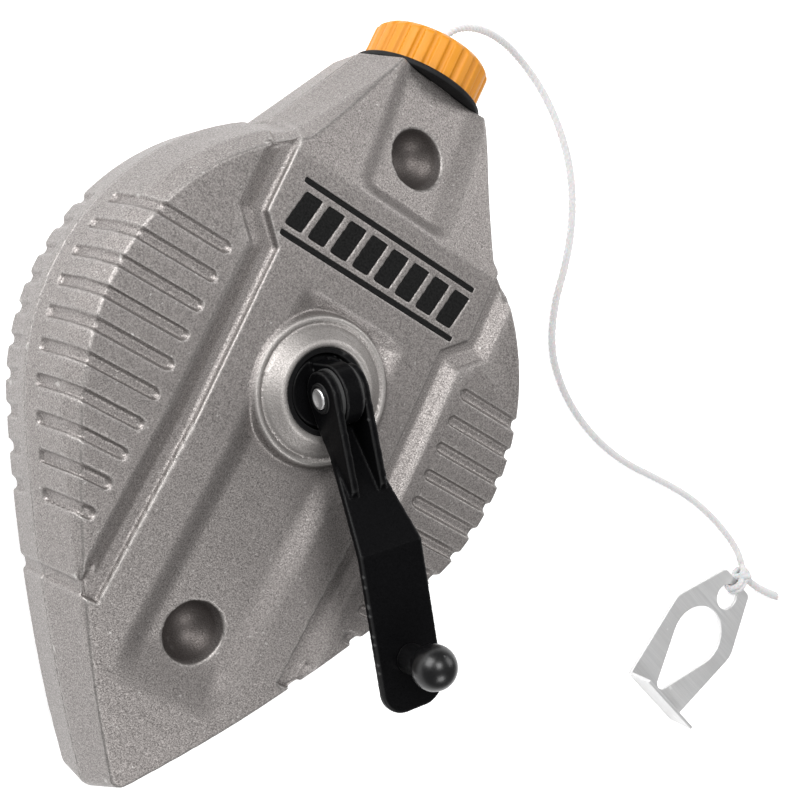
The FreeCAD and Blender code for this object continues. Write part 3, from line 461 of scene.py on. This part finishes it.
def front_relief(points):
    """Deepens the grips' channels and sinks the two panels down the middle of the face."""
    x, y, z = points.T
    surface = surface_height(y)
    reach = np.hypot(x, y)
    lower = step(PANEL_HALF - np.abs(x), -PANEL_FLANK, PANEL_FLANK)
    lower *= step(BADGE_BAND[0] - y, *PANEL_END) * step(y, *TAIL_FADE)
    upper = step(NECK_PANEL_HALF - np.abs(x), -PANEL_FLANK, PANEL_FLANK)
    upper *= step(y - BADGE_BAND[1], *PANEL_END)
    outside = step(reach, BOSS_RADIUS - 0.6, BOSS_RADIUS + 0.4)
    dimple = np.minimum(np.hypot(x, y - DIMPLE_DISTANCE), np.hypot(x, y + DIMPLE_DISTANCE))
    near_top = np.maximum(step(z, *(surface - depth for depth in SKIN)), dimple < DIMPLE_RADIUS + 0.3)
    sunk = PANEL_DEPTH * np.maximum(lower, upper) * outside
    points[:, 2] -= np.maximum(sunk, deeper_channel(x, y)) * near_top
    return points


def lathe(profile, steps=48):
    """A mesh turned about Z from (radius, height) corners that end on the axis or form a loop."""
    mesh = bmesh.new()
    rings = []
    for radius, height in profile:
        if radius < 1e-6:
            rings.append([mesh.verts.new((0, 0, height * MM))])
            continue
        turns = [2 * math.pi * k / steps for k in range(steps)]
        rings.append([mesh.verts.new((radius * MM * math.cos(a), radius * MM * math.sin(a), height * MM))
                      for a in turns])
    for low, high in zip(rings, rings[1:]):
        for k in range(steps):
            after = (k + 1) % steps
            places = ((low, k), (low, after), (high, after), (high, k))
            corners = [ring[j % len(ring)] for ring, j in places]
            mesh.faces.new(list(dict.fromkeys(corners)))
    bmesh.ops.remove_doubles(mesh, verts=mesh.verts, dist=1e-7)
    bmesh.ops.recalc_face_normals(mesh, faces=mesh.faces)
    made = bpy.data.meshes.new("lathe")
    mesh.to_mesh(made)
    mesh.free()
    smooth_shading(made)
    return made


def arc(centre, radius, start, end, steps):
    """(radius, height) points on an arc, by angle from the radial direction in degrees."""
    sweep = [math.radians(start + (end - start) * k / steps) for k in range(steps + 1)]
    return [(centre[0] + radius * math.cos(a), centre[1] + radius * math.sin(a)) for a in sweep]


# ---------------------------------------------------------------- twine

def spline_path(points):
    """The NURBS spline with these control points, as a fine run of points in millimetres."""
    curve = bpy.data.curves.new("route", "CURVE")
    curve.dimensions = "3D"
    curve.resolution_u = 32
    spline = curve.splines.new("NURBS")
    spline.points.add(len(points) - 1)
    for place, point in zip(spline.points, points):
        place.co = (*(c * MM for c in point), 1.0)
    spline.order_u = 3
    spline.use_endpoint_u = True
    obj = bpy.data.objects.new("route", curve)
    bpy.context.collection.objects.link(obj)
    mesh = evaluated(obj)
    path = np.array([v.co for v in mesh.vertices]) / MM
    bpy.data.objects.remove(obj)
    return path


def evenly(path, pitch):
    """The same path with points this far apart."""
    lengths = np.linalg.norm(np.diff(path, axis=0), axis=1)
    along = np.concatenate([[0.0], np.cumsum(lengths)])
    count = max(3, round(along[-1] / pitch))
    places = np.linspace(0.0, along[-1], count + 1)
    return np.stack([np.interp(places, along, path[:, k]) for k in range(3)], axis=1)


def carried_frames(path):
    """Unit vectors across the path that turn with it and no more."""
    tangents = np.gradient(path, axis=0)
    tangents /= np.linalg.norm(tangents, axis=1)[:, None]
    across = np.cross(tangents[0], (0.31, 0.17, 0.93))
    across /= np.linalg.norm(across)
    sides = []
    for tangent in tangents:
        across = across - tangent * np.dot(across, tangent)
        across /= np.linalg.norm(across)
        sides.append(across)
    sides = np.array(sides)
    return sides, np.cross(tangents, sides)


def strand(mesh, path, radius, pitch, lobes=3, depth=0.22, around=18, taper=None):
    """Adds a twisted tube to a bmesh: lobes turn once in every pitch; taper gives radii along it."""
    one, two = carried_frames(path)
    spacing = np.linalg.norm(np.diff(path, axis=0), axis=1).mean()
    rings = []
    for k, centre in enumerate(path):
        turn = 2 * math.pi * k * spacing / pitch
        size = radius if taper is None else radius * taper(k / (len(path) - 1))
        ring = []
        for j in range(around):
            a = 2 * math.pi * j / around
            bulge = 1 - depth + depth * abs(math.cos(lobes * (a - turn) / 2))
            place = centre + size * bulge * (one[k] * math.cos(a) + two[k] * math.sin(a))
            ring.append(mesh.verts.new(place * MM))
        rings.append(ring)
    for low, high in zip(rings, rings[1:]):
        for j in range(around):
            after = (j + 1) % around
            mesh.faces.new((low[j], low[after], high[after], high[j]))
    mesh.faces.new(list(reversed(rings[0])))
    mesh.faces.new(rings[-1])


def mesh_from(build):
    """A mesh made by a function that fills a bmesh."""
    work = bmesh.new()
    build(work)
    bmesh.ops.recalc_face_normals(work, faces=work.faces)
    made = bpy.data.meshes.new("twine")
    work.to_mesh(made)
    work.free()
    smooth_shading(made)
    return made


def in_hook_axes(points):
    """Points given in the hook's own axes, in the row frame."""
    turn = math.radians(HOOK_TURN)
    points = np.atleast_2d(np.array(points, float))
    x = HOOK_AT[0] + points[:, 0] * math.cos(turn) - points[:, 1] * math.sin(turn)
    y = HOOK_AT[1] + points[:, 0] * math.sin(turn) + points[:, 1] * math.cos(turn)
    return np.stack([x, y, points[:, 2]], axis=1)


def smooth_route(points, pitch=0.3):
    """A smooth path through the hook's own space, with points this far apart."""
    return evenly(spline_path([tuple(p) for p in in_hook_axes(points)]), pitch)


def angles(steps, turns=1.0):
    """Angles from nought through this many turns."""
    return [2 * math.pi * turns * k / steps for k in range(steps + 1)]


def hitch(mesh, start):
    """The loops through the small hole, the wraps behind the nose and the strand over them."""
    ply, reach = KNOT_PLY * LINE_DIAMETER / 2, LOOP_RADIUS - 0.15
    for side in (-LOOP_SPREAD, LOOP_SPREAD):
        loop = [(side + 0.12 * math.sin(2 * a), HOOK_RIM + reach * math.cos(a),
                 KNOT_HEIGHT + reach * math.sin(a)) for a in angles(16)]
        strand(mesh, smooth_route(loop), ply, KNOT_LAY)
    wraps = []
    for k, a in enumerate(angles(WRAP_STEPS, WRAP_STEPS / WRAP_STEPS_IN_TURN)):
        wraps.append((-2.0 + 3.9 * k / WRAP_STEPS, start + 0.8 + WRAP_RADIUS * math.cos(a),
                      KNOT_HEIGHT + WRAP_RADIUS * math.sin(a)))
    strand(mesh, smooth_route(wraps), ply, KNOT_LAY)
    over = [(-1.7, start - 0.6, KNOT_HEIGHT + 1.4), (-0.4, start + 0.8, KNOT_HEIGHT + 2.4),
            (1.2, start + 1.6, KNOT_HEIGHT + 2.0), (2.4, start + 1.6, KNOT_HEIGHT + 0.3)]
    strand(mesh, smooth_route(over), LINE_DIAMETER / 2, KNOT_LAY)


def loose_end(mesh, start):
    """The short free tail, which opens into single fibres."""
    tail = [(1.0, start + 1.2, KNOT_HEIGHT), (3.6, start + 1.6, 3.3), (8.0, start + 2.6, 2.4),
            (13.0, start + 4.2, 1.9), (18.0, start + 6.2, TAIL_HEIGHT)]
    strand(mesh, smooth_route(tail), TAIL_RADIUS, 5.0, taper=lambda s: 0.8 + 0.25 * s)
    fray = random.Random(7)
    for a in angles(FIBRES)[:-1]:
        spread = 0.9 * math.sqrt(fray.uniform(0.1, 1.0))
        side = (spread * math.cos(a), spread * math.sin(a))
        length = fray.uniform(1.8, 3.4)
        sway = fray.uniform(-0.3, 0.3)
        root = (FRAY_AT, start + 5.9 + 0.6 * side[0], TAIL_HEIGHT + 0.6 * side[1])
        mid = (FRAY_AT + 0.6 * length, start + 6.4 + side[0], TAIL_HEIGHT + 0.8 * side[1])
        end = (FRAY_AT + length, start + 6.7 + 1.7 * side[0] + sway, 1.5 + 1.1 * side[1])
        strand(mesh, smooth_route((root, mid, end), 0.25), FIBRE_RADIUS, 2.0,
               lobes=2, depth=0.2, around=7, taper=lambda s: 1.0 - 0.6 * s)


def knot(mesh):
    """The hitch on the hook's small hole and its loose end."""
    start = HOOK_RIM + LOOP_RADIUS
    hitch(mesh, start)
    loose_end(mesh, start)


# ---------------------------------------------------------------- the object

NODE_SLOTS = {
    "badge_inlay": "badge_black", "neck_gasket": "gasket_rubber", "case_screws": "steel",
    "hub_bushing": "black_metal", "friction_washers": "black_metal", "felt_wiper": "felt",
    "hidden_line": "line_cotton", "wound_line": "line_cotton", "spool": "spool_plastic",
    "sun_gear": "steel", "planet_gear_1": "steel", "planet_gear_2": "steel",
    "planet_gear_3": "steel", "planet_pins": "steel", "carrier": "steel", "ring_gear": "steel",
    "ring_screws": "steel", "spool_shaft": "steel", "spool_washer": "steel", "knob_stud": "steel",
}


def dress_nodes():
    """Finishes for the CAD parts that stay as they are."""
    for node, slot in NODE_SLOTS.items():
        finish(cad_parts[node], slot)


BROKEN_EDGES = {"hub_bushing": 0.3, "badge_inlay": 0.12, "case_screws": 0.2}


def broken_edges(node, width):
    """Breaks a CAD part's sharp edges with a bevel this many millimetres wide."""
    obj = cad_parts[node]
    weld = obj.modifiers.new("weld", "WELD")
    weld.merge_threshold = 0.002 * MM
    bevel = obj.modifiers.new("broken_edges", "BEVEL")
    bevel.width = width * MM
    bevel.segments = 3
    bevel.limit_method = "ANGLE"
    bevel.angle_limit = math.radians(30.0)
    bevel.harden_normals = True


def make_castings():
    front = softened("front_shell", 0.42, 4, front_relief, 190000)
    add_piece("front_casting", front, "cast_shell", "case", "front_shell")
    back = softened("back_shell", 0.50, 4, most_faces=150000)
    add_piece("back_casting", back, "cast_shell", "case", "back_shell")


def make_crank():
    add_piece("arm_pressing", softened("crank_arm", 0.30, 5), "black_metal", "handle", "crank_arm")
    add_piece("hub_turning", softened("crank_hub", 0.28, 4), "black_metal", "crank", "crank_hub")
    add_piece("ball_knob", softened("knob", 0.22, 4), "knob_black", "knob", "knob")


def across_crank(mesh):
    """Lays a lathed mesh along the crank's pivot."""
    turn = Matrix.Rotation(math.radians(CRANK_AZIMUTH), 4, "Z") @ Matrix.Rotation(math.pi / 2, 4, "X")
    mesh.transform(Matrix.Translation((0, 0, PIVOT_HEIGHT * MM)) @ turn)
    return mesh


def rivet_end(sign):
    """Half a rivet's outline from its middle out: shank, collar's foot, round rim and dished face."""
    rim = [(PIVOT_RADIUS, EARS_REACH), (RIVET_HEAD, EARS_REACH)]
    rim += arc((RIVET_HEAD - 0.3, EARS_REACH + 0.55), 0.35, 0, 120, 6)
    rim += [(1.3, EARS_REACH + 0.62), (0.6, EARS_REACH + 0.5), (0.0, EARS_REACH + 0.48)]
    return [(radius, sign * height) for radius, height in rim]


def collar_outline(sign):
    """A round-edged ring that sits on one ear around the rivet's head."""
    inner, outer = RIVET_HEAD + 0.1, COLLAR_RADIUS
    ring = [(inner, EARS_REACH), (outer, EARS_REACH), (outer - 0.05, EARS_REACH + 0.3)]
    ring += arc((outer - 0.55, EARS_REACH + 0.32), 0.4, 10, 150, 6)
    ring += [(inner, EARS_REACH + 0.3), (inner, EARS_REACH)]
    return [(radius, sign * height) for radius, height in ring]


def make_pivot():
    rivet = lathe(list(reversed(rivet_end(-1))) + rivet_end(1))
    add_piece("dished_rivet", across_crank(rivet), "steel", "handle", "pivot_rivet")
    for name, sign in (("collar_near", -1), ("collar_far", 1)):
        ring = across_crank(lathe(collar_outline(sign)))
        add_piece(name, ring, "black_metal", "handle")


def make_cap():
    ribbed = softened("outlet_cap", 0.30, 4, most_faces=150000)
    add_piece("ribbed_cap", ribbed, "cap_yellow", "cap", "outlet_cap")


def make_line():
    path = evenly(spline_path(LINE_ROUTE), 0.35)
    mesh = mesh_from(lambda work: strand(work, path, LINE_DIAMETER / 2, 5.2))
    line = add_piece("drawn_line", mesh, "line_cotton", "line_end", "line")
    tied = add_piece("tied_knot", mesh_from(knot), "line_cotton", "line_end", "line_knot")
    sheet = softened("hook", 0.15, 2, most_faces=70000)
    plate = add_piece("hook_plate", sheet, "stainless", "line_end", "hook")


# ---------------------------------------------------------------- studio

FLOOR_GAP = 0.12

# The camera's place in millimetres, its own right and up directions, and its lens.
CAMERA_AT = (-169.5, -57.5, 348.0)
CAMERA_RIGHT = (0.735, 0.409, 0.542)
CAMERA_UP = (-0.438, 0.895, -0.081)
CAMERA_LENS = 71.2


def softbox(name, place, target, size, power):
    """A rectangular area light, with places and sizes in millimetres and power in watts."""
    light = bpy.data.lights.new(name, "AREA")
    light.shape = "RECTANGLE"
    light.size, light.size_y = (side * MM for side in size)
    light.energy = power
    obj = bpy.data.objects.new(name, light)
    obj.location = Vector(place) * MM
    obj.rotation_euler = (Vector(target) - Vector(place)).to_track_quat("-Z", "Y").to_euler()
    bpy.context.collection.objects.link(obj)


def make_floor():
    """White paper a hair below the object, so that none of its faces lies in the paper."""
    half = 2500 * MM
    floor = bpy.data.meshes.new("floor")
    floor.from_pydata([(-half, -half, 0), (half, -half, 0), (half, half, 0), (-half, half, 0)], [],
                      [(0, 1, 2, 3)])
    obj = bpy.data.objects.new("studio_floor", floor)
    obj.location.z = -FLOOR_GAP * MM
    obj.data.materials.append(floor_paper())
    bpy.context.collection.objects.link(obj)


def make_lights():
    """A large key from the left, a small softbox above, and two weak ones at the back and the right."""
    world = bpy.data.worlds.new("studio")
    world.use_nodes = True
    sky = world.node_tree.nodes["Background"]
    sky.inputs["Color"].default_value = (1.0, 1.0, 1.0, 1.0)
    sky.inputs["Strength"].default_value = 0.30
    bpy.context.scene.world = world
    softbox("key", (-620, 120, 330), (0, 0, 20), (500, 420), 6.0)
    softbox("top", (-190, 160, 720), (10, 0, 40), (280, 280), 3.1)
    softbox("back", (420, 560, 480), (0, 60, 20), (460, 360), 2.2)
    softbox("front", (230, -330, 480), (-10, -80, 20), (240, 200), 1.2)


def make_camera():
    """The camera, with its directions squared up."""
    camera = bpy.data.objects.new("camera", bpy.data.cameras.new("camera"))
    camera.data.lens = CAMERA_LENS
    camera.data.sensor_width = 36.0
    camera.data.clip_start = 0.01
    right, up = Vector(CAMERA_RIGHT), Vector(CAMERA_UP)
    back = right.cross(up).normalized()
    up = back.cross(right).normalized()
    turned = Matrix((right.normalized(), up, back)).transposed()
    camera.matrix_world = Matrix.Translation(Vector(CAMERA_AT) * MM) @ turned.to_4x4()
    bpy.context.collection.objects.link(camera)
    bpy.context.scene.camera = camera


dress_nodes()
for part, width in BROKEN_EDGES.items():
    broken_edges(part, width)
make_castings()
make_crank()
make_pivot()
make_cap()
make_line()
make_floor()
make_lights()
make_camera()
bpy.context.scene.view_settings.view_transform = "Standard"
